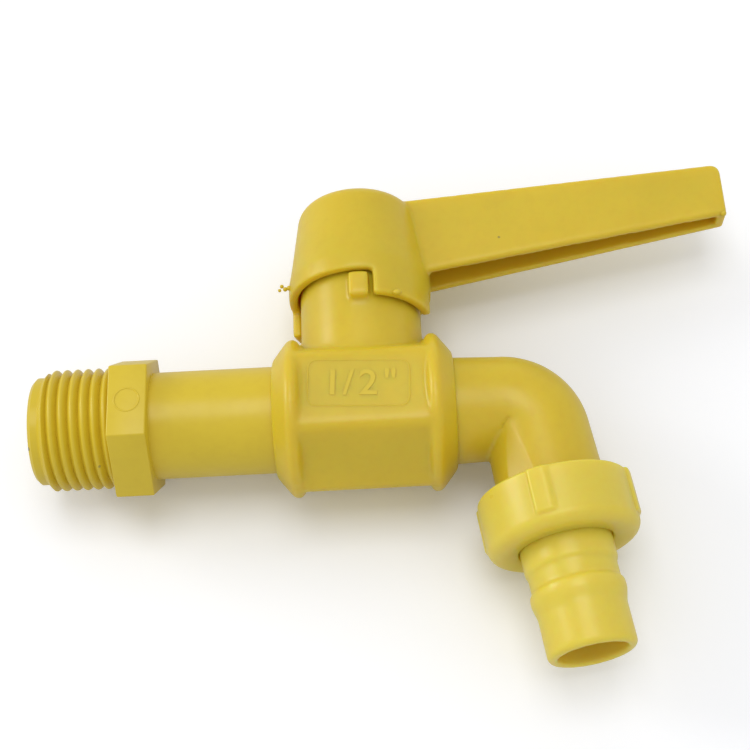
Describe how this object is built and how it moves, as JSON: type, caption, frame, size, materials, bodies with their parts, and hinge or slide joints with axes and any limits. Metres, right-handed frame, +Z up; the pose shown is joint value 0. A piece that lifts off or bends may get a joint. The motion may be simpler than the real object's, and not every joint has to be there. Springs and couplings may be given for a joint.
{
  "type": "lever bib tap",
  "caption": "Straight plastic bib tap with a male pipe thread, hexagon flange, quarter-turn lever on a skirted hub, bent spout and a union nut with a push-on hose nozzle.",
  "frame": {"origin": "centre of the hexagon's inlet face, on the pipe's axis, where the inlet thread ends", "axes": "+X along the pipe from the threaded inlet to the bend, +Z up the stem to the lever, +Y to the side away from the round mark, right-handed"},
  "size_m": [0.1236, 0.0274, 0.0909],
  "materials": {
    "yellow_plastic": "smooth moulded, slightly glossy golden yellow",
    "lemon_plastic": "smooth moulded, slightly glossy pale yellow",
    "white_plastic": "smooth off-white",
    "black_rubber": "matt black",
    "screw_steel": "plain bright steel"
  },
  "bodies": {
    "tap_body": {"inlet_tail": "yellow_plastic", "outlet_elbow": "yellow_plastic", "valve_shell": "yellow_plastic", "inlet_seat": "white_plastic", "outlet_seat": "white_plastic"},
    "lever": {"handle": "yellow_plastic", "handle_screw": "screw_steel", "stem": "white_plastic", "lower_o_ring": "black_rubber", "upper_o_ring": "black_rubber", "ball": "white_plastic"},
    "nozzle": {"hose_nozzle": "lemon_plastic", "nozzle_washer": "black_rubber"},
    "nut": {"union_nut": "lemon_plastic"}
  },
  "joints": [
    {"name": "handle_turn", "type": "hinge", "parent": "tap_body", "child": "lever", "pos_m": [0.0426, 0, 0], "axis": [0, 0, 1], "range_deg": [0, 90]},
    {"name": "nozzle_slide", "type": "slide", "parent": "tap_body", "child": "nozzle", "axis": [0.1392, 0, -0.9903], "range_m": [0, 0.005]},
    {"name": "nut_turn", "type": "hinge", "parent": "nozzle", "child": "nut", "pos_m": [0.0712, 0, 0], "axis": [0.1392, 0, -0.9903], "range_deg": [0, 990]}
  ],
  "couplings": [
    {"joint": "nozzle_slide", "follows": "nut_turn", "m_per_rad": 0.00028872}
  ]
}
